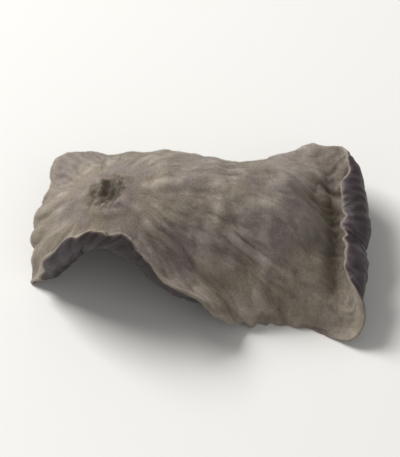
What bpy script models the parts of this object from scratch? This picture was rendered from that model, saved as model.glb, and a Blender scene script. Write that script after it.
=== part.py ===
"""A dried wood ear mushroom: a thin, leathery, cupped fruit body, lying on its curled margin, back up.

Run with: blender --background --python part.py

The fruit body grew as one piece, so it is one closed solid. Its middle surface is a function of two
parameters, the direction round the crown and the way out from the crown to the edge. The two faces, the downy
back and the smooth spore-bearing inside, are that surface offset by half the flesh's thickness to each side.
Frame: X along the body, +Z up, -Y the side where the margin arches clear of what the body lies on. The origin
is at the bottom of the middle of the body's box.
"""

import bpy
import numpy as np

MM = 0.001

# Driving dimensions, in millimetres and degrees.
CROWN_HEIGHT = 8.8
FLESH = 0.72
FLESH_AT_EDGE = 0.5
FLESH_AT_SCAR = 1.3

# The scar where the stalk broke off: its place from the crown, its size, and how its rim and hollow stand.
SCAR_AT = (-6.6, -0.6)
SCAR_RADIUS = 1.3
SCAR_RIM = 0.4
SCAR_HOLLOW = 0.75

# How the body leans to lie on the three lowest places of its margin, and how far they are pressed flat.
LEAN_X = 0.43
LEAN_Y = 0.26
FLAT_FEET = 0.45

# Heights of the sheet's relief.
SWELL = 0.25
PUCKER = 0.14
VEIN = 0.5
ZONE = 0.2
RUFFLE = 0.5
RUFFLE_LENGTH = 5.2
SEEDS = {"wander": 21, "swell": 3, "pucker": 5, "ruffle": 11}

# How the vault falls away from the crown: to the sides (squared and to the fourth), forward and backward.
FALL_SIDEWAYS = 0.015
FALL_SIDEWAYS_STEEP = 0.00019
FALL_FORWARD = 0.09
FALL_BACKWARD = 0.2
DEEPEST_FALL = 9.0

# The margin, once round: direction from the crown, distance out and height where the curl starts, turn of the
# curl (over 0 tucks the edge under, below 0 flares it up and back) and length of the curl.
MARGIN = np.array([
    (-174.0, 12.6, 1.2, 40, 1.6),
    (-169.0, 12.9, 0.5, 20, 1.6),
    (-164.0, 12.7, 0.7, 0, 1.5),
    (-160.5, 11.7, 2.3, -30, 1.9),
    (-157.0, 10.3, 4.4, -75, 3.0),
    (-150.5, 8.3, 6.1, -120, 4.3),
    (-137.0, 6.0, 6.4, -150, 5.2),
    (-112.0, 4.8, 5.6, -165, 5.2),
    (-91.0, 5.0, 4.2, -150, 4.7),
    (-76.0, 6.2, 3.0, -100, 3.6),
    (-68.0, 7.2, 1.8, -50, 2.6),
    (-59.0, 8.1, 1.2, -20, 2.0),
    (-49.0, 9.4, 0.9, 0, 1.8),
    (-41.5, 11.6, 0.7, -20, 2.1),
    (-35.5, 13.7, 0.4, -70, 2.8),
    (-28.0, 12.9, 1.5, -190, 5.2),
    (-18.0, 11.5, 1.9, -232, 7.0),
    (0.0, 10.8, 2.1, -240, 7.4),
    (16.0, 11.0, 2.5, -205, 6.0),
    (34.0, 10.3, 3.2, -20, 2.2),
    (48.0, 8.0, 2.2, 90, 2.8),
    (70.0, 6.5, 1.8, 140, 3.6),
    (98.0, 6.1, 3.0, 150, 4.0),
    (130.0, 8.3, 3.0, 120, 3.2),
    (155.0, 11.8, 2.8, 70, 2.2),
])

# How fast the margin's shorter ripples fade towards the crown.
FADING = 0.6

# The mesh: spokes round, rings on each face, and rings of the first, uneven layout of each part of a spoke.
SPOKES = 92
RINGS = 25
FINE_RINGS = 60


def once_round(direction, column):
    """One column of MARGIN as a smooth closed curve of direction, in cubic pieces. The slope at a row is that
    of the chord between its neighbours."""
    knots = MARGIN[:, 0]
    values = MARGIN[:, column]
    x = np.concatenate([knots[-2:] - 360, knots, knots[:3] + 360])
    y = np.concatenate([values[-2:], values, values[:3]])
    slope = np.zeros_like(y)
    slope[1:-1] = (y[2:] - y[:-2]) / (x[2:] - x[:-2])
    at = (direction + 180) % 360 - 180
    i = np.clip(np.searchsorted(x, at, side="right") - 1, 1, len(x) - 3)
    width = x[i + 1] - x[i]
    t = (at - x[i]) / width
    return (
        y[i] * (1 + 2 * t) * (1 - t) ** 2
        + slope[i] * width * t * (1 - t) ** 2
        + y[i + 1] * t**2 * (3 - 2 * t)
        + slope[i + 1] * width * t**2 * (t - 1)
    )


def spoke_directions():
    """Directions from the crown, in degrees, whose spokes meet the margin at even distances along it."""
    fine = np.linspace(-180, 180, 1441)
    out = once_round(fine, 1)
    edge = out * np.exp(1j * np.radians(fine))
    along = np.concatenate([[0], np.cumsum(np.abs(np.diff(edge)))])
    return np.interp(np.linspace(0, along[-1], SPOKES, endpoint=False), along, fine)


def vault(x, y):
    """Height of the vault over a point of the plan, before the margin's own height is worked in."""
    fall = FALL_SIDEWAYS * x**2 + FALL_SIDEWAYS_STEEP * x**4
    fall = fall + np.where(y < 0, FALL_FORWARD, FALL_BACKWARD) * y**2
    return CROWN_HEIGHT - fall / np.hypot(1, fall / DEEPEST_FALL)


def carried_in(round_the_edge, way, faster=0):
    """Values round the edge carried in to each ring. The more times a ripple goes round, the higher the power
    of the way out that it fades with, so the longest ripples reach furthest towards the crown."""
    times_round = np.abs(np.fft.fftfreq(SPOKES, 1 / SPOKES))
    return np.fft.ifft(np.fft.fft(round_the_edge) * way ** (times_round**FADING + faster))


def even_rings(points, flat):
    """The sheet with its rings moved to even distances along every spoke, a little rounder near the crown,
    and each point's distance in from the edge."""
    steps = np.linalg.norm(np.diff(points, axis=0), axis=-1)
    along = np.vstack([np.zeros(SPOKES), np.cumsum(steps, axis=0)])
    way = np.linspace(0, 1, RINGS + 1)[:, None]
    near_crown = (along[-1] + along[-1].mean()) / 2
    target = way * (near_crown * (1 - way) + along[-1] * way)

    below = (along[None, 1:-1] <= target[:, None]).sum(axis=1)
    start = np.take_along_axis(along, below, axis=0)
    end = np.take_along_axis(along, below + 1, axis=0)
    share = ((target - start) / (end - start))[..., None]
    sheet = np.dstack([points, flat])
    low = np.take_along_axis(sheet, below[..., None], axis=0)
    high = np.take_along_axis(sheet, below[..., None] + 1, axis=0)
    even = low + (high - low) * share
    return even[..., :3], even[..., 3:], along[-1] - target


def middle_surface():
    """Points of the middle surface as rings by spokes by 3, the same points on the sheet laid flat, and each
    point's distance in from the edge.

    The plan is the margin's outline carried in to the crown, and the height is the vault's, with what the
    margin differs from it carried in too. The curl goes on outward from the slope there and turns evenly."""
    direction = spoke_directions()
    out, height, turn, curl = (once_round(direction, column) for column in (1, 2, 3, 4))
    way = np.linspace(0, 1, FINE_RINGS + 1)[:, None]
    plan = carried_in(out * np.exp(1j * np.radians(direction)), way)
    level = vault(plan.real, plan.imag)
    level = level + carried_in(height - level[-1], way, faster=2).real

    outward = plan[-1] - plan[-2]
    slope = np.arctan2(level[-2] - level[-1], np.abs(outward))
    outward = outward / np.abs(outward)
    angle = slope + np.radians(turn) * way[1:]
    step = curl / FINE_RINGS
    flat = np.vstack([plan, plan[-1] + outward * np.cumsum(step + 0 * angle, axis=0)])
    plan = np.vstack([plan, plan[-1] + outward * np.cumsum(np.cos(angle) * step, axis=0)])
    level = np.vstack([level, level[-1] - np.cumsum(np.sin(angle) * step, axis=0)])

    points = np.stack([plan.real, plan.imag, level], axis=-1)
    return even_rings(points, np.stack([flat.real, flat.imag], axis=-1))


def waves(points, wavelength, seed, count=14):
    """A rolling height, about -1 to 1: a sum of sine waves of about one length, in seeded directions."""
    rng = np.random.default_rng(seed)
    height = 0
    for _ in range(count):
        heading, phase = rng.uniform(0, 2 * np.pi, 2)
        stretch = rng.uniform(0.75, 1.3)
        along = points @ np.array([np.cos(heading), np.sin(heading)])
        height = height + np.cos(2 * np.pi * along / (wavelength * stretch) + phase)
    return height / np.sqrt(2 * count)


def crests(phase):
    """A wave with narrow crests and wide hollows, about -0.3 to 0.7."""
    return np.exp(2 * (np.cos(phase) - 1)) - 0.3


def smooth_step(x):
    """0 below 0, 1 above 1, and a smooth rise between."""
    x = np.clip(x, 0, 1)
    return x * x * (3 - 2 * x)


def relief(flat, from_edge):
    """How far the whole sheet is moved along its normal, in millimetres: a slow swell, veins that radiate
    from the scar, growth zones round it, and the ruffle that drying gives the margin."""
    across = flat - np.array(SCAR_AT)
    from_scar = np.hypot(across[..., 0], across[..., 1])
    bearing = np.arctan2(across[..., 1], across[..., 0])
    wander = 0.5 * waves(flat, 7.0, SEEDS["wander"])
    short_veins = crests(16 * bearing + 2.2 - 2 * wander) * smooth_step((from_scar - 3) / 6)
    veins = 0.5 * crests(9 * bearing + wander) + 0.4 * short_veins
    zones = crests(2 * np.pi * from_scar / 4.4 + 1.2 * wander)
    swell = waves(flat, 9.5, SEEDS["swell"])
    pucker = waves(flat, 3.6, SEEDS["pucker"])
    height = SWELL * swell + PUCKER * pucker + VEIN * veins + ZONE * zones
    height = height * smooth_step((from_scar - 1.2) / 4.5)
    ruffle = waves(flat, RUFFLE_LENGTH, SEEDS["ruffle"])
    return height + RUFFLE * ruffle * np.exp(-((from_edge / 2.6) ** 2))


def scar(flat):
    """How far the back alone stands proud where the stalk broke off: a rim with a hollow in it."""
    from_scar = np.linalg.norm(flat - np.array(SCAR_AT), axis=-1)
    rim = np.exp(-(((from_scar - SCAR_RADIUS) / 0.7) ** 2))
    hollow = np.exp(-((from_scar / 0.8) ** 2))
    return SCAR_RIM * rim - SCAR_HOLLOW * hollow


def normals_of(points):
    """Unit normals of the surface that the rings and spokes make, pointing to the back's side."""
    outward = np.gradient(points, axis=0)
    around = np.roll(points, -1, axis=1) - np.roll(points, 1, axis=1)
    normal = np.cross(outward, around)
    normal[0] = normal[1].mean(axis=0)
    return normal / np.linalg.norm(normal, axis=-1, keepdims=True)


def both_faces():
    """The back's and the inside's points, each as rings by spokes by 3."""
    points, flat, from_edge = middle_surface()
    points = points + normals_of(points) * relief(flat, from_edge)[..., None]
    from_scar = np.linalg.norm(flat - np.array(SCAR_AT), axis=-1)
    flesh = FLESH + (FLESH_AT_SCAR - FLESH) * np.exp(-((from_scar / 2.4) ** 2))
    flesh = flesh + (FLESH_AT_EDGE - FLESH) * np.exp(-from_edge / 1.2)
    normal = normals_of(points)
    back = points + normal * (flesh / 2 + scar(flat))[..., None]
    return back, points - normal * (flesh / 2)[..., None]


def closed_sheet(back, inside):
    """Vertices and faces of the solid: a pole and rings on each face, joined round the edge."""
    rings = len(back) - 1
    on_a_face = 1 + rings * SPOKES
    verts = np.vstack([
        back[:1, 0],
        back[1:].reshape(-1, 3),
        inside[:1, 0],
        inside[1:].reshape(-1, 3),
    ])

    spoke = np.arange(SPOKES)
    onward = (spoke + 1) % SPOKES
    fan = np.stack([0 * spoke, 1 + spoke, 1 + onward], axis=-1)
    start = 1 + SPOKES * np.arange(rings - 1)[:, None]
    further = start + SPOKES
    quads = np.stack([start + spoke, further + spoke, further + onward, start + onward], axis=-1)
    quads = quads.reshape(-1, 4)
    last = 1 + (rings - 1) * SPOKES
    below = last + on_a_face
    edge = np.stack([last + spoke, below + spoke, below + onward, last + onward], axis=-1)

    faces = fan.tolist() + quads.tolist()
    faces += (fan[:, ::-1] + on_a_face).tolist() + (quads[:, ::-1] + on_a_face).tolist()
    return verts, faces + edge.tolist()


def set_down(verts):
    """The body leaned on to three places of its margin, which are pressed flat, with the origin under its
    middle."""
    tilt, roll = np.radians(LEAN_X), np.radians(LEAN_Y)
    about_x = np.array([(1, 0, 0), (0, np.cos(tilt), -np.sin(tilt)), (0, np.sin(tilt), np.cos(tilt))])
    about_y = np.array([(np.cos(roll), 0, np.sin(roll)), (0, 1, 0), (-np.sin(roll), 0, np.cos(roll))])
    verts = verts @ (about_y @ about_x).T
    floor = verts[:, 2].min() + FLAT_FEET
    verts[:, 2] = np.maximum(verts[:, 2], floor) - floor
    verts[:, :2] -= (verts[:, :2].max(axis=0) + verts[:, :2].min(axis=0)) / 2
    return verts


def dried_flesh():
    """Grey-brown, matt, leathery flesh."""
    material = bpy.data.materials.new("dried_flesh")
    material.use_nodes = True
    shader = material.node_tree.nodes["Principled BSDF"]
    shader.inputs["Base Color"].default_value = (0.15, 0.125, 0.10, 1)
    shader.inputs["Roughness"].default_value = 0.8
    shader.inputs["Metallic"].default_value = 0.0
    return material


def build():
    for old in list(bpy.data.objects):
        bpy.data.objects.remove(old)
    verts, faces = closed_sheet(*both_faces())
    mesh = bpy.data.meshes.new("wood_ear")
    mesh.from_pydata((set_down(verts) * MM).tolist(), [], faces)
    mesh.shade_smooth()
    mesh.materials.append(dried_flesh())
    ear = bpy.data.objects.new("wood_ear", mesh)
    bpy.context.scene.collection.objects.link(ear)


build()
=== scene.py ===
"""Looks of a dried wood ear mushroom: a thin, leathery, cupped fruit body that lies back up on a pale table.

The body's sizes are in millimetres, in the CAD frame: X along the body, -Y the side where its margin arches
clear of the table, +Z up.
"""

import bpy
import numpy as np
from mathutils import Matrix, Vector


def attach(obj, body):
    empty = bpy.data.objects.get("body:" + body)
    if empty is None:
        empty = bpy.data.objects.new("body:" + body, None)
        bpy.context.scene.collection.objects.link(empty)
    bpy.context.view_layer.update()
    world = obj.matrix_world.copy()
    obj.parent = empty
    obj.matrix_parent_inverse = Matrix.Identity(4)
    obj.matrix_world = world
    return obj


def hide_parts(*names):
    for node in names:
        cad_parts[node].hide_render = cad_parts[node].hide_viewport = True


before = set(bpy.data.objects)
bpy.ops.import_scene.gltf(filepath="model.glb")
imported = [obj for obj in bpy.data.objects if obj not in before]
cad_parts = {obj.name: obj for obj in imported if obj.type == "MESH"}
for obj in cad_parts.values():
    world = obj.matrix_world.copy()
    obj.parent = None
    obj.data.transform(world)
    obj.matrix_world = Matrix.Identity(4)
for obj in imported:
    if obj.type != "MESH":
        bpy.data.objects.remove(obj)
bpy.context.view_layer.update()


# The flesh. The fruit body is one sheet of dried jelly, tough as thin leather: a downy grey-brown back with a
# scar where the stalk was torn from the wood, and a dark, smooth inside. It grew as a cup and shrank as it
# dried, which arched it, rolled its front and right margins up and back, and drew it into veins and furrows.

MM = 0.001

# The vault's height and the thickness of the flesh.
CROWN_HEIGHT = 8.8
FLESH = 0.72
FLESH_AT_EDGE = 0.22
FLESH_AT_SCAR = 1.3

# The scar: its place from the crown, the radius and height of its rim, and the radius and depth of its
# hollow.
SCAR_AT = (-6.6, -0.6)
SCAR_RADIUS = 1.3
SCAR_RIM = 0.3
HOLLOW_RADIUS = 1.0
SCAR_HOLLOW = 0.65

# How the body leans to lie on the three lowest places of its margin, how far they are pressed flat, and over
# what height the flat eases in.
LEAN_X = 0.43
LEAN_Y = 0.26
FLAT_FEET = 0.45
SOFT_FEET = 0.12

# Heights of the relief that bends the sheet, as in the CAD body.
SWELL = 0.25
PUCKER = 0.14
VEIN = 0.5
ZONE = 0.2
RUFFLE = 0.5
RUFFLE_LENGTH = 5.2

# How far the edge runs on, or stops short, in its lobes and nicks.
LOBE = 0.26

# Heights of the finer relief that bends it, and how much more of it there is at the left end.
CRIMP = 0.18
MORE_CRIMP = 0.1
GATHER = 0.12
MORE_GATHER = 0.12
FOLD = 0.08

# Heights of each face's own relief.
FURROW_ON_BACK = 0.035
CREASE_ON_BACK = 0.07
FURROW_INSIDE = 0.045
NET_INSIDE = 0.08
FINE_PUCKER = 0.02

# How the vault falls away from the crown: to the sides (squared and to the fourth), forward and backward.
FALL_SIDEWAYS = 0.015
FALL_SIDEWAYS_STEEP = 0.00019
FALL_FORWARD = 0.09
FALL_BACKWARD = 0.2
DEEPEST_FALL = 9.0

# The margin, once round: direction from the crown, distance out and height where the curl starts, turn of the
# curl (over 0 tucks the edge under, below 0 flares it up and back) and length of the curl.
MARGIN = np.array([
    (-174.0, 12.6, 1.2, 40, 1.6),
    (-169.0, 12.9, 0.5, 20, 1.6),
    (-164.0, 12.7, 0.7, 0, 1.5),
    (-160.5, 11.7, 2.3, -30, 1.9),
    (-157.0, 10.3, 4.4, -75, 3.0),
    (-150.5, 8.3, 6.1, -120, 4.3),
    (-137.0, 6.0, 6.4, -150, 5.2),
    (-112.0, 4.8, 5.6, -165, 5.2),
    (-91.0, 5.0, 4.2, -150, 4.7),
    (-76.0, 6.2, 3.0, -100, 3.6),
    (-68.0, 7.2, 1.8, -50, 2.6),
    (-59.0, 8.1, 1.2, -20, 2.0),
    (-49.0, 9.4, 0.9, 0, 1.8),
    (-41.5, 11.6, 0.7, -20, 2.1),
    (-35.5, 13.7, 0.4, -70, 2.8),
    (-28.0, 12.9, 1.5, -190, 5.2),
    (-18.0, 11.5, 1.9, -232, 7.0),
    (0.0, 10.8, 2.1, -240, 7.4),
    (16.0, 11.0, 2.5, -205, 6.0),
    (34.0, 10.3, 3.2, -20, 2.2),
    (48.0, 8.0, 2.2, 90, 2.8),
    (70.0, 6.5, 1.8, 140, 3.6),
    (98.0, 6.1, 3.0, 150, 4.0),
    (130.0, 8.3, 3.0, 120, 3.2),
    (155.0, 11.8, 2.8, 70, 2.2),
])

# How much sooner a ripple of the margin fades on its way in to the crown, the more times it goes round.
FADING = 0.6

# The sheet is worked out on rings and spokes, and meshed on a square whose edge is the margin: a ring holds
# eight more points than the ring inside it, so the points lie at about even distances all over.
RINGS = 108
SPOKES = 8 * RINGS
FINE_RINGS = 400


def once_round(direction, column):
    """One column of MARGIN as a smooth closed curve of direction, in cubic pieces. The slope at a row is that
    of the chord between its neighbours."""
    knots = MARGIN[:, 0]
    values = MARGIN[:, column]
    x = np.concatenate([knots[-2:] - 360, knots, knots[:3] + 360])
    y = np.concatenate([values[-2:], values, values[:3]])
    slope = np.zeros_like(y)
    slope[1:-1] = (y[2:] - y[:-2]) / (x[2:] - x[:-2])
    at = (direction + 180) % 360 - 180
    i = np.clip(np.searchsorted(x, at, side="right") - 1, 1, len(x) - 3)
    width = x[i + 1] - x[i]
    t = (at - x[i]) / width
    return (
        y[i] * (1 + 2 * t) * (1 - t) ** 2
        + slope[i] * width * t * (1 - t) ** 2
        + y[i + 1] * t**2 * (3 - 2 * t)
        + slope[i + 1] * width * t**2 * (t - 1)
    )


def spoke_directions():
    """Directions from the crown, in degrees, whose spokes meet the margin at even distances along it."""
    fine = np.linspace(-180, 180, 1441)
    edge = once_round(fine, 1) * np.exp(1j * np.radians(fine))
    along = np.concatenate([[0], np.cumsum(np.abs(np.diff(edge)))])
    return np.interp(np.linspace(0, along[-1], SPOKES, endpoint=False), along, fine)


def vault(x, y):
    """Height of the vault over a point of the plan: it falls with the square of the distance from the crown,
    and levels off towards the deepest fall."""
    fall = FALL_SIDEWAYS * x**2 + FALL_SIDEWAYS_STEEP * x**4
    fall = fall + np.where(y < 0, FALL_FORWARD, FALL_BACKWARD) * y**2
    return CROWN_HEIGHT - fall / np.hypot(1, fall / DEEPEST_FALL)


def carried_in(round_the_edge, way, faster=0):
    """Values round the edge carried in to each ring. The more times a ripple goes round, the higher the power
    of the way out that it fades with, so the longest ripples reach furthest towards the crown."""
    times_round = np.abs(np.fft.fftfreq(SPOKES, 1 / SPOKES))
    return np.fft.ifft(np.fft.fft(round_the_edge) * way ** (times_round**FADING + faster))


def even_rings(points, flat):
    """The sheet with its rings moved to even distances along every spoke, a little rounder near the crown,
    and each point's distance in from the edge."""
    steps = np.linalg.norm(np.diff(points, axis=0), axis=-1)
    along = np.vstack([np.zeros(SPOKES), np.cumsum(steps, axis=0)])
    way = np.linspace(0, 1, RINGS + 1)[:, None]
    near_crown = (along[-1] + along[-1].mean()) / 2
    target = way * (near_crown * (1 - way) + along[-1] * way)

    below = np.zeros(target.shape, int)
    for ring in range(1, len(along) - 1):
        below += along[ring] <= target
    start = np.take_along_axis(along, below, axis=0)
    end = np.take_along_axis(along, below + 1, axis=0)
    share = ((target - start) / (end - start))[..., None]
    sheet = np.dstack([points, flat])
    low = np.take_along_axis(sheet, below[..., None], axis=0)
    high = np.take_along_axis(sheet, below[..., None] + 1, axis=0)
    even = low + (high - low) * share
    return even[..., :3], even[..., 3:], along[-1] - target


def round_waves(turn, least, most, seed, count=40):
    """A rolling height of the way round, about -1 to 1: a sum of cosines that go round a whole number of
    times between least and most, each with a seeded phase, and lower the more often it goes round."""
    rng = np.random.default_rng(seed)
    height, power = 0, 0
    for _ in range(count):
        times = rng.integers(least, most + 1)
        share = (least / times) ** 0.6
        height = height + share * np.cos(2 * np.pi * (times * turn + rng.uniform()))
        power = power + share**2
    return height / np.sqrt(2 * power)


def middle_sheet():
    """Points of the middle surface as rings by spokes by 3, the same points on the sheet laid flat, and each
    point's distance in from the edge.

    The plan is the margin's outline carried in to the crown, and the height is the vault's, with what the
    margin differs from it carried in too. The curl goes on outward from the slope there and turns evenly. It
    runs on a little longer here and shorter there, which nicks and lobes the edge."""
    direction = spoke_directions()
    out, height, turn, curl = (once_round(direction, column) for column in (1, 2, 3, 4))
    turn_round = np.arange(SPOKES) / SPOKES
    longer = 1 + LOBE * round_waves(turn_round, 9, 60, 41) / curl
    way = np.linspace(0, 1, FINE_RINGS + 1)[:, None]
    plan = carried_in(out * np.exp(1j * np.radians(direction)), way)
    level = vault(plan.real, plan.imag)
    level = level + carried_in(height - level[-1], way, faster=2).real

    outward = plan[-1] - plan[-2]
    slope = np.arctan2(level[-2] - level[-1], np.abs(outward))
    outward = outward / np.abs(outward)
    angle = slope + np.radians(turn) * longer * way[1:]
    step = curl * longer / FINE_RINGS
    flat = np.vstack([plan, plan[-1] + outward * np.cumsum(np.broadcast_to(step, angle.shape), axis=0)])
    plan = np.vstack([plan, plan[-1] + outward * np.cumsum(np.cos(angle) * step, axis=0)])
    level = np.vstack([level, level[-1] - np.cumsum(np.sin(angle) * step, axis=0)])
    points = np.stack([plan.real, plan.imag, level], axis=-1)
    return even_rings(points, np.stack([flat.real, flat.imag], axis=-1))


def waves(points, wavelength, seed, count=14):
    """A rolling height, about -1 to 1: a sum of sine waves of about one length, in seeded directions."""
    rng = np.random.default_rng(seed)
    height = 0
    for _ in range(count):
        heading, phase = rng.uniform(0, 2 * np.pi, 2)
        stretch = rng.uniform(0.75, 1.3)
        along = points @ np.array([np.cos(heading), np.sin(heading)])
        height = height + np.cos(2 * np.pi * along / (wavelength * stretch) + phase)
    return height / np.sqrt(2 * count)


def crests(phase):
    """A wave with narrow crests and wide hollows, about -0.3 to 0.7."""
    return np.exp(2 * (np.cos(phase) - 1)) - 0.3


def smooth_step(x):
    """0 below 0, 1 above 1, and a smooth rise between."""
    x = np.clip(x, 0, 1)
    return x * x * (3 - 2 * x)


def lines(height, width):
    """1 along the lines where a rolling height passes 0, and a quick, rounded fall to 0 on both sides."""
    return np.exp(-((height / width) ** 2))


def drawn_out(from_scar, bearing, spacing, length, seed):
    """A rolling height drawn out along the rays from the scar, about spacing wide and length long everywhere.

    It is a sum of sets of cosines of the bearing. From set to set the waves go round twice as often, and a
    set shows only where its waves are about spacing wide, so the furrows fork as they spread."""
    rng = np.random.default_rng(seed)
    height = 0
    for times_round in 2 ** np.arange(2, 9):
        width = 2 * np.pi * from_scar / times_round
        share = np.exp(-2 * np.log2(np.maximum(width, 1e-3) / spacing) ** 2)
        for _ in range(7):
            times = rng.integers(int(0.7 * times_round), int(1.4 * times_round) + 1)
            slant, phase = rng.uniform(-1, 1) / length, rng.uniform()
            height = height + share * np.cos(times * bearing + 2 * np.pi * (slant * from_scar + phase))
    return height / np.sqrt(5)


def normals_of(points):
    """Unit normals of the surface that the rings and spokes make, pointing to the back's side."""
    outward = np.gradient(points, axis=0)
    around = np.roll(points, -1, axis=1) - np.roll(points, 1, axis=1)
    normal = np.cross(outward, around)
    normal[0] = normal[1].mean(axis=0)
    return normal / np.linalg.norm(normal, axis=-1, keepdims=True)


points, flat, from_edge = middle_sheet()
turn_round = np.broadcast_to(np.arange(SPOKES) / SPOKES, from_edge.shape)
across_scar = flat - np.array(SCAR_AT)
from_scar = np.hypot(across_scar[..., 0], across_scar[..., 1])
bearing = np.arctan2(across_scar[..., 1], across_scar[..., 0])

# The relief that bends the whole sheet: a slow swell, puckers, veins that radiate from the scar, growth zones
# round it, and a ruffled margin.
wander = 0.5 * waves(flat, 7.0, 21)
veins = 0.5 * crests(9 * bearing + wander)
veins = veins + 0.4 * crests(16 * bearing + 2.2 - 2 * wander) * smooth_step((from_scar - 3) / 6)
zones = crests(2 * np.pi * from_scar / 4.4 + 1.2 * wander)
relief = SWELL * waves(flat, 9.5, 3) + PUCKER * waves(flat, 3.6, 5) + VEIN * veins + ZONE * zones
relief = relief * smooth_step((from_scar - 1.2) / 4.5)
relief = relief + RUFFLE * waves(flat, RUFFLE_LENGTH, 11) * np.exp(-((from_edge / (RUFFLE_LENGTH / 2)) ** 2))

# Where the margin is rolled, over 5 degrees up and back or 45 under, the sheet is stiffer, so its relief is
# lower there.
turn, curl = (once_round(spoke_directions(), column) for column in (3, 4))
rolled = smooth_step((np.maximum(-turn, turn - 40) - 5) / 50) * smooth_step((curl + 4 - from_edge) / 4)
relief = relief * (1 - 0.4 * rolled)

# Finer than the CAD body: crimps and gathers of the thin margin, strongest at the left end, and low folds
# drawn out from the scar.
at_left = smooth_step((-3 - flat[..., 0]) / 5)
ruffled = np.clip(0.5 + 0.8 * round_waves(turn_round, 3, 9, 44), 0.15, 1.2)
crimps = round_waves(turn_round, 14, 48, 43) * ruffled * np.exp(-((from_edge / 1.8) ** 2))
gathers = np.cos(2 * np.pi * 30 * turn_round + 4 * round_waves(turn_round, 3, 8, 53))
gathered = np.clip(0.5 + round_waves(turn_round, 3, 9, 54), 0, 1)
gathers = gathers * gathered * np.exp(-((from_edge / 3.2) ** 2))
ray = bearing + 0.05 * waves(flat, 4.5, 45)
away = smooth_step((from_scar - 0.9) / 1.2)
folds = drawn_out(from_scar, ray, 1.9, 8.0, 46) * smooth_step((from_scar - 1) / 3)
creased = np.clip(0.5 + 0.6 * waves(flat, 8.0, 52), 0.1, 1)
finer = (CRIMP + MORE_CRIMP * at_left) * crimps + (GATHER + MORE_GATHER * at_left) * gathers
finer = finer + FOLD * folds * creased
relief = relief + finer * (1 - 0.8 * rolled)
points = points + normals_of(points) * relief[..., None]

# Each face's own relief. The back has soft furrows and sharper creases, drawn out from the scar, and a close
# pucker. The inside has a net of shallow wrinkles over the same furrows.
furrows = drawn_out(from_scar, ray, 0.95, 4.0, 47) * smooth_step((from_scar - 1.5) / 3)
creases = lines(drawn_out(from_scar, ray, 1.6, 5.0, 57), 0.16) * smooth_step((from_scar - 2) / 3) - 0.2
pucker = waves(flat, 1.2, 48, 24)
net = lines(waves(flat, 1.7, 49, 24) + 0.3 * waves(flat, 0.9, 50), 0.45)
back_relief = FURROW_ON_BACK * furrows * creased - CREASE_ON_BACK * creases * creased
back_relief = back_relief + FINE_PUCKER * pucker * away
inside_relief = NET_INSIDE * net + FURROW_INSIDE * furrows * creased + FINE_PUCKER * pucker

rim = np.exp(-(((from_scar - SCAR_RADIUS) / 0.7) ** 2))
hollow = np.exp(-((from_scar / HOLLOW_RADIUS) ** 2))
frayed = 1 + 0.45 * waves(flat, 1.0, 51)
pitted = 1 + 0.25 * waves(flat, 0.7, 58)
back_relief = back_relief + SCAR_RIM * rim * frayed - SCAR_HOLLOW * hollow * pitted

flesh = FLESH + (FLESH_AT_SCAR - FLESH) * np.exp(-((from_scar / 2.4) ** 2))
thinner = FLESH - FLESH_AT_EDGE * (1 + 0.3 * round_waves(turn_round, 10, 90, 55))
flesh = flesh - thinner * np.exp(-from_edge / 1.1)
normal = normals_of(points)
back = points + normal * (flesh / 2 + back_relief)[..., None]
inside = points - normal * (flesh / 2 + inside_relief)[..., None]

# The rim between the faces is rounded: half circles from the back's edge, over the outermost point, to the
# inside's edge.
outward = points[-1] - points[-2]
outward = outward / np.linalg.norm(outward, axis=-1, keepdims=True)
middle, half_flesh = (back[-1] + inside[-1]) / 2, (back[-1] - inside[-1]) / 2
thick = np.linalg.norm(half_flesh, axis=-1, keepdims=True)
RIM_ROWS = 3
rim_turn = np.pi * np.arange(1, RIM_ROWS + 1)[:, None, None] / (RIM_ROWS + 1)
rim_points = middle + half_flesh * np.cos(rim_turn) + outward * thick * np.sin(rim_turn)

# The square: each of its points lies on a ring and between two spokes.
side = np.arange(-RINGS, RINGS + 1)
i, j = np.meshgrid(side, side, indexing="ij")
ring = np.maximum(np.abs(i), np.abs(j))
round_it = np.select(
    [(i == ring) & (j < ring), (j == ring) & (i > -ring), (i == -ring) & (j > -ring)],
    [ring + j, 3 * ring - i, 5 * ring - j],
    7 * ring + i,
)
spoke = round_it * RINGS / np.maximum(ring, 1)
spoke_below = np.floor(spoke).astype(int)
between = spoke - spoke_below


def on_square(table):
    """A table of rings by spokes, read at the square's points: between two spokes it is mixed from both."""
    share = between.reshape(between.shape + (1,) * (table.ndim - 2))
    low = table[ring, spoke_below % SPOKES]
    return low + (table[ring, (spoke_below + 1) % SPOKES] - low) * share


def closed_sheet():
    """Vertices and faces of the solid: the square's points on the back, on the inside, and the rim's rows,
    with quads between neighbours. The rim runs through the square's edge points in their order round it."""
    count = ring.size
    index = np.arange(count).reshape(ring.shape)
    quads = np.stack([index[:-1, :-1], index[1:, :-1], index[1:, 1:], index[:-1, 1:]], axis=-1).reshape(-1, 4)
    edge = index[ring == RINGS][np.argsort(round_it[ring == RINGS])]
    rows = [edge]
    rows += [2 * count + row * SPOKES + np.arange(SPOKES) for row in range(RIM_ROWS)]
    rows += [edge + count]
    strips = [
        np.stack([near, far, np.roll(far, -1), np.roll(near, -1)], axis=-1)
        for near, far in zip(rows, rows[1:])
    ]
    tables = [on_square(back), on_square(inside), rim_points]
    verts = np.vstack([table.reshape(-1, 3) for table in tables])
    return verts, [quads, quads[:, ::-1] + count, np.vstack(strips)]


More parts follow.
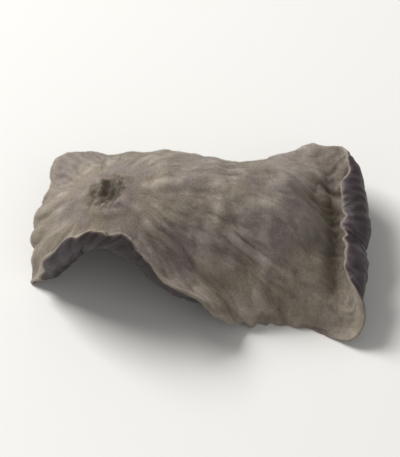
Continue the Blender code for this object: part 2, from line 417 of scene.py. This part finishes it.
def set_down(verts):
    """The body leaned on to three places of its margin, which are pressed flat, with the origin under its
    middle."""
    tilt, roll = np.radians(LEAN_X), np.radians(LEAN_Y)
    about_x = np.array([(1, 0, 0), (0, np.cos(tilt), -np.sin(tilt)), (0, np.sin(tilt), np.cos(tilt))])
    about_y = np.array([(np.cos(roll), 0, np.sin(roll)), (0, 1, 0), (-np.sin(roll), 0, np.cos(roll))])
    verts = verts @ (about_y @ about_x).T
    floor = verts[:, 2].min() + FLAT_FEET
    verts[:, 2] = SOFT_FEET * np.logaddexp(0, (verts[:, 2] - floor) / SOFT_FEET)
    verts[:, 2] -= verts[:, 2].min()
    verts[:, :2] -= (verts[:, :2].max(axis=0) + verts[:, :2].min(axis=0)) / 2
    return verts


verts, faces = closed_sheet()
verts = set_down(verts)
flesh_mesh = bpy.data.meshes.new("wood_ear_flesh")
flesh_mesh.from_pydata((verts * MM).tolist(), [], np.vstack(faces).tolist())
flesh_mesh.shade_smooth()


def keep_values(mesh, name, on_back, on_inside, on_rim):
    """Puts a value for every vertex in the mesh, for its materials to read."""
    values = np.concatenate([
        on_square(on_back).ravel(),
        on_square(on_inside).ravel(),
        np.broadcast_to(on_rim, rim_points.shape[:2]).ravel(),
    ])
    mesh.attributes.new(name, "FLOAT", "POINT").data.foreach_set("value", values.astype(np.float32))


def keep_vectors(mesh, name, vectors):
    """Puts a vector for every vertex in the mesh, for its materials to read."""
    rim_vectors = np.broadcast_to(vectors[-1], rim_points.shape)
    values = np.vstack([
        on_square(vectors).reshape(-1, 3),
        on_square(vectors).reshape(-1, 3),
        rim_vectors.reshape(-1, 3),
    ])
    made = mesh.attributes.new(name, "FLOAT_VECTOR", "POINT")
    made.data.foreach_set("vector", values.astype(np.float32).ravel())


# Heights of the relief, kept for the materials, which paint highlights on its crests and shade in its valleys
# and creases.
fold_height = 0.35 * folds * creased + 0.8 * veins + 0.5 * zones + 0.6 * crimps + 0.7 * gathers
back_height = fold_height + 0.3 * furrows - 0.5 * creases + 0.3 * pucker
inside_height = -0.5 * fold_height + 0.9 * (net - 0.45) + 0.5 * furrows * creased + 0.3 * pucker
near_edge = np.exp(-from_edge / 0.35)
near_scar = np.exp(-((from_scar / (1.3 + 0.3 * waves(flat, 2.6, 56))) ** 2))
keep_values(flesh_mesh, "height", back_height, inside_height, 0.3)
keep_values(flesh_mesh, "near_edge", near_edge, near_edge, 1.0)
keep_values(flesh_mesh, "near_scar", near_scar, np.zeros_like(near_scar), 0.0)
keep_values(flesh_mesh, "away", smooth_step((from_scar - 1) / 5), away, 1.0)
rays = np.stack([np.cos(bearing), np.sin(bearing), 0.06 * from_scar], axis=-1)
keep_vectors(flesh_mesh, "rays", rays)


def screen_colour(red, green, blue):
    """A colour as a screen shows it, 0 to 255, as the linear values that a shader takes."""
    screen = np.array([red, green, blue]) / 255
    return (*np.where(screen <= 0.04045, screen / 12.92, ((screen + 0.055) / 1.055) ** 2.4), 1)


def add_node(tree, kind, inputs, **settings):
    """A shader node with its settings, and its inputs by name or number: a socket is linked, a value set."""
    node = tree.nodes.new(kind)
    for name, value in settings.items():
        setattr(node, name, value)
    for name, value in inputs.items():
        if isinstance(value, bpy.types.NodeSocket):
            tree.links.new(value, node.inputs[name])
        else:
            node.inputs[name].default_value = value
    return node


def value_of(tree, name, output="Fac"):
    """What the mesh holds under a name."""
    return add_node(tree, "ShaderNodeAttribute", {}, attribute_name=name).outputs[output]


def mottle(tree, where, size, detail=3, roughness=0.55, distortion=0):
    """A cloudy pattern, 0 to 1, whose clouds are about so many millimetres across."""
    inputs = {
        "Vector": where, "Scale": 1 / (size * MM), "Detail": detail, "Roughness": roughness,
        "Distortion": distortion,
    }
    return add_node(tree, "ShaderNodeTexNoise", inputs).outputs["Fac"]


def ranged(tree, value, low, high, to_low=0, to_high=1):
    """A value's range taken to another range, eased at both ends."""
    inputs = {"Value": value, "From Min": low, "From Max": high, "To Min": to_low, "To Max": to_high}
    return add_node(tree, "ShaderNodeMapRange", inputs, interpolation_type="SMOOTHSTEP").outputs["Result"]


def tinted(tree, share, under, over, way="MIX"):
    """One colour laid over another by a share."""
    node = add_node(tree, "ShaderNodeMix", {0: share, 6: under, 7: over}, data_type="RGBA", blend_type=way)
    return node.outputs[2]


def added(tree, first, second, kind="ADD"):
    """Two values added, or put together in another way."""
    return add_node(tree, "ShaderNodeMath", {0: first, 1: second}, operation=kind).outputs[0]


def downy_back():
    """The back: matt grey-brown with mauve and olive patches, with a painted highlight on its crests and
    painted shade in its valleys, paler at the edge, and dark in the ragged scar."""
    material = bpy.data.materials.new("downy_back")
    material.use_nodes = True
    tree = material.node_tree
    shader = tree.nodes["Principled BSDF"]
    where = add_node(tree, "ShaderNodeTexCoord", {}).outputs["Object"]
    height = value_of(tree, "height")
    rays_here = value_of(tree, "rays", "Vector")

    patches = ranged(tree, mottle(tree, where, 5.0, 2), 0.35, 0.65)
    colour = tinted(tree, patches, screen_colour(121, 111, 108), screen_colour(124, 115, 99))
    stains = ranged(tree, mottle(tree, where, 2.4, 4, 0.6, 0.6), 0.5, 0.75, 0, 0.25)
    colour = tinted(tree, stains, colour, screen_colour(96, 84, 74))
    # Painted highlight: the crests of the relief are painted paler, as light would catch them.
    painted_highlight_on_crests = ranged(tree, height, 0.1, 1.0, 0, 0.75)
    colour = tinted(tree, painted_highlight_on_crests, colour, screen_colour(158, 149, 137))
    # Painted shade: the valleys and creases of the relief are painted darker, as shade would fall in them.
    painted_shade_in_valleys = ranged(tree, height, -0.1, -0.9, 0, 0.6)
    colour = tinted(tree, painted_shade_in_valleys, colour, screen_colour(82, 73, 66))
    drawn = {"Vector": rays_here, "Scale": 16, "Detail": 5, "Roughness": 0.65}
    streaks = add_node(tree, "ShaderNodeTexNoise", drawn).outputs["Fac"]
    streak = ranged(tree, streaks, 0.3, 0.7)
    streaked = tinted(tree, streak, screen_colour(90, 80, 72), screen_colour(164, 156, 145))
    colour = tinted(tree, ranged(tree, value_of(tree, "away"), 0, 1, 0, 0.3), colour, streaked)
    grain = ranged(tree, mottle(tree, where, 0.16, 3, 0.7), 0.3, 0.7)
    speckle = tinted(tree, grain, (0.1, 0.09, 0.08, 1), (0.75, 0.72, 0.68, 1))
    colour = tinted(tree, 0.22, colour, speckle, "OVERLAY")
    worn = ranged(tree, mottle(tree, where, 1.1, 3, 0.6), 0.4, 0.65, 0.1, 0.6)
    edge = added(tree, ranged(tree, value_of(tree, "near_edge"), 0.2, 1.0), worn, "MULTIPLY")
    colour = tinted(tree, edge, colour, screen_colour(141, 129, 116))
    ragged = ranged(tree, mottle(tree, where, 0.5, 4, 0.6), 0.25, 0.75, -0.28, 0.28)
    scar = ranged(tree, added(tree, value_of(tree, "near_scar"), ragged), 0.2, 0.8, 0, 0.9)
    colour = tinted(tree, scar, colour, screen_colour(56, 49, 40))
    tree.links.new(colour, shader.inputs["Base Color"])

    tree.links.new(ranged(tree, grain, 0, 1, 0.95, 0.8), shader.inputs["Roughness"])
    bumps = added(tree, mottle(tree, where, 0.14, 4, 0.65), added(tree, streaks, 0.8, "MULTIPLY"))
    bump = add_node(tree, "ShaderNodeBump", {"Height": bumps, "Strength": 0.9, "Distance": 0.05 * MM})
    tree.links.new(bump.outputs["Normal"], shader.inputs["Normal"])
    shader.inputs["Sheen Weight"].default_value = 0.25
    shader.inputs["Sheen Roughness"].default_value = 0.5
    shader.inputs["Sheen Tint"].default_value = screen_colour(226, 219, 208)
    shader.inputs["Specular IOR Level"].default_value = 0.25
    return material


def dark_inside():
    """The inside: near-black with a purple cast, satin, with a painted highlight on the crests of its net of
    wrinkles and folds and painted shade in the valleys between, brown at the edge.
    """
    material = bpy.data.materials.new("dark_inside")
    material.use_nodes = True
    tree = material.node_tree
    shader = tree.nodes["Principled BSDF"]
    where = add_node(tree, "ShaderNodeTexCoord", {}).outputs["Object"]
    height = value_of(tree, "height")

    patches = ranged(tree, mottle(tree, where, 4.0, 3), 0.35, 0.65)
    colour = tinted(tree, patches, screen_colour(47, 37, 44), screen_colour(42, 33, 31))
    # Painted highlight: the crests of the wrinkles and folds are painted paler, as the satin would catch the
    # light.
    painted_highlight_on_crests = ranged(tree, height, 0.0, 0.9, 0, 0.6)
    colour = tinted(tree, painted_highlight_on_crests, colour, screen_colour(72, 59, 63))
    # Painted shade: the valleys between the wrinkles and folds are painted darker, as shade would fall in
    # them.
    painted_shade_in_valleys = ranged(tree, height, 0.0, -0.7, 0, 0.8)
    colour = tinted(tree, painted_shade_in_valleys, colour, screen_colour(24, 17, 19))
    grain = mottle(tree, where, 0.2, 4, 0.65)
    colour = tinted(tree, ranged(tree, grain, 0.4, 0.7, 0, 0.25), colour, screen_colour(66, 55, 58))
    edge = ranged(tree, value_of(tree, "near_edge"), 0.5, 1.0, 0, 0.5)
    colour = tinted(tree, edge, colour, screen_colour(104, 90, 82))
    tree.links.new(colour, shader.inputs["Base Color"])

    tree.links.new(ranged(tree, grain, 0.3, 0.7, 0.42, 0.62), shader.inputs["Roughness"])
    bump = add_node(tree, "ShaderNodeBump", {"Height": grain, "Strength": 0.8, "Distance": 0.06 * MM})
    tree.links.new(bump.outputs["Normal"], shader.inputs["Normal"])
    shader.inputs["Specular IOR Level"].default_value = 0.45
    return material


flesh_mesh.materials.append(downy_back())
flesh_mesh.materials.append(dark_inside())
slots = np.concatenate([np.full(len(part), which) for part, which in zip(faces, (0, 1, 0))]).astype(np.int32)
flesh_mesh.polygons.foreach_set("material_index", slots)
wood_ear_flesh = bpy.data.objects.new("wood_ear_flesh", flesh_mesh)
bpy.context.scene.collection.objects.link(wood_ear_flesh)
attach(wood_ear_flesh, "root")
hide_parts("wood_ear")


# The down. The back is felted with pale hairs, a small part of a millimetre long, that lie away from the
# scar. Each is a three-sided spike whose foot is sunk in the flesh, and all of them are one mesh.

HAIRS = 48000
HAIR_LENGTH = 0.14
HAIR_WIDTH = 0.02
HAIR_SUNK = 0.03
HAIR_LEAN = 1.2
HAIR_STRAY = 0.35
BARE_ROUND_SCAR = 0.9

back_grid = verts[:ring.size].reshape(ring.shape + (3,))
corners = [back_grid[:-1, :-1], back_grid[1:, :-1], back_grid[1:, 1:], back_grid[:-1, 1:]]
corners = [corner.reshape(-1, 1, 3) for corner in corners]
facing = np.cross(corners[2] - corners[0], corners[3] - corners[1])
area = np.linalg.norm(facing, axis=-1, keepdims=True)
grown = area.ravel() * (on_square(from_scar)[:-1, :-1].ravel() > BARE_ROUND_SCAR)


def unit(vectors):
    """Vectors made 1 long."""
    return vectors / np.linalg.norm(vectors, axis=-1, keepdims=True)


def spikes(rng):
    """Hairs by four points by 3: three round the foot, and the tip.

    A foot is a point of a quad of the back, between its corners by two even random shares, and the quads are
    drawn by their area. A hair stands up from its quad, leans away from the scar, and strays a little."""
    quad = rng.choice(grown.size, HAIRS, p=grown / grown.sum())
    u, v = rng.uniform(size=(2, HAIRS, 1, 1))
    low = corners[0][quad] * (1 - u) + corners[1][quad] * u
    high = corners[3][quad] * (1 - u) + corners[2][quad] * u
    foot = low * (1 - v) + high * v
    up = (facing / area)[quad]
    from_the_scar = foot - back_grid.reshape(-1, 3)[on_square(from_scar).argmin()]
    flat_lean = unit(from_the_scar - up * (from_the_scar * up).sum(axis=-1, keepdims=True))
    along = unit(up + HAIR_LEAN * flat_lean + HAIR_STRAY * rng.normal(size=foot.shape))
    side = unit(np.cross(along, rng.normal(size=foot.shape)))
    turn = 2 * np.pi * np.arange(3)[:, None] / 3
    round_foot = side * np.cos(turn) + np.cross(along, side) * np.sin(turn)
    tip = foot + along * HAIR_LENGTH * rng.uniform(0.45, 1.25, (HAIRS, 1, 1))
    hairs = np.concatenate([foot - up * HAIR_SUNK + round_foot * HAIR_WIDTH / 2, tip], axis=1)
    return hairs[hairs[..., 2].min(axis=1) > 0]


hairs = spikes(np.random.default_rng(61))
down_mesh = bpy.data.meshes.new("ear_down")
sides = np.array([(0, 1, 3), (1, 2, 3), (2, 0, 3), (0, 2, 1)])
hair_faces = (4 * np.arange(len(hairs))[:, None, None] + sides).reshape(-1, 3)
down_mesh.from_pydata((hairs.reshape(-1, 3) * MM).tolist(), [], hair_faces.tolist())
way_out = np.tile(np.array([0, 0, 0, 1], np.float32), len(hairs))
down_mesh.attributes.new("way_out", "FLOAT", "POINT").data.foreach_set("value", way_out)


def down_hair():
    """Fine, dry hair: grey-brown at the foot and paler at the tip, in patches."""
    material = bpy.data.materials.new("down_hair")
    material.use_nodes = True
    tree = material.node_tree
    shader = tree.nodes["Principled BSDF"]
    where = add_node(tree, "ShaderNodeTexCoord", {}).outputs["Object"]
    foot = tinted(tree, ranged(tree, mottle(tree, where, 3.0), 0.35, 0.65), screen_colour(112, 102, 92),
                  screen_colour(124, 116, 106))
    tip = tinted(tree, ranged(tree, mottle(tree, where, 1.2), 0.3, 0.7), screen_colour(134, 125, 115),
                 screen_colour(168, 160, 150))
    tree.links.new(tinted(tree, value_of(tree, "way_out"), foot, tip), shader.inputs["Base Color"])
    shader.inputs["Roughness"].default_value = 0.85
    shader.inputs["Specular IOR Level"].default_value = 0.2
    return material


down_mesh.materials.append(down_hair())
ear_down = bpy.data.objects.new("ear_down", down_mesh)
bpy.context.scene.collection.objects.link(ear_down)
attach(ear_down, "root")


# The table, the light and the camera. A pale, plain table under a soft lamp at the back left, with the room's
# light all round, seen from above and in front as the body lies.

floor_mesh = bpy.data.meshes.new("table_top")
floor_mesh.from_pydata([(-2, -2, 0), (2, -2, 0), (2, 2, 0), (-2, 2, 0)], [], [(0, 1, 2, 3)])
table_finish = bpy.data.materials.new("pale_table")
table_finish.use_nodes = True
table_shader = table_finish.node_tree.nodes["Principled BSDF"]
table_shader.inputs["Base Color"].default_value = screen_colour(216, 214, 210)
table_shader.inputs["Roughness"].default_value = 0.7
floor_mesh.materials.append(table_finish)
table_top = bpy.data.objects.new("table_top", floor_mesh)
bpy.context.scene.collection.objects.link(table_top)

room = bpy.data.worlds.new("room")
room.use_nodes = True
room.node_tree.nodes["Background"].inputs["Color"].default_value = (1, 1, 1, 1)
room.node_tree.nodes["Background"].inputs["Strength"].default_value = 0.36
bpy.context.scene.world = room

middle_of_body = Vector((0, 0, 0.004))


def aimed(name, data, place, at):
    """An object of a lamp or camera that looks from a place, in metres, at a point."""
    made = bpy.data.objects.new(name, data)
    made.location = place
    made.rotation_euler = (Vector(at) - Vector(place)).to_track_quat("-Z", "Y").to_euler()
    bpy.context.scene.collection.objects.link(made)
    return made


def soft_lamp(name, power, size, place):
    """A square lamp aimed at the body: power in watts, size and place in metres."""
    lamp = bpy.data.lights.new(name, "AREA")
    lamp.energy = power
    lamp.size = size
    return aimed(name, lamp, place, middle_of_body)


soft_lamp("window_light", 2.1, 0.18, (-0.22, 0.16, 0.30))
soft_lamp("fill_light", 0.25, 0.3, (0.25, -0.25, 0.25))

ELEVATION = 56
DISTANCE = 0.26
camera_data = bpy.data.cameras.new("camera")
camera_data.lens = 250
camera_data.clip_start = 0.005
camera_data.clip_end = 20
elevation = np.radians(ELEVATION)
camera_place = middle_of_body + DISTANCE * Vector((0, -np.cos(elevation), np.sin(elevation)))
bpy.context.scene.camera = aimed("camera", camera_data, camera_place, middle_of_body)
bpy.context.scene.view_settings.view_transform = "Standard"
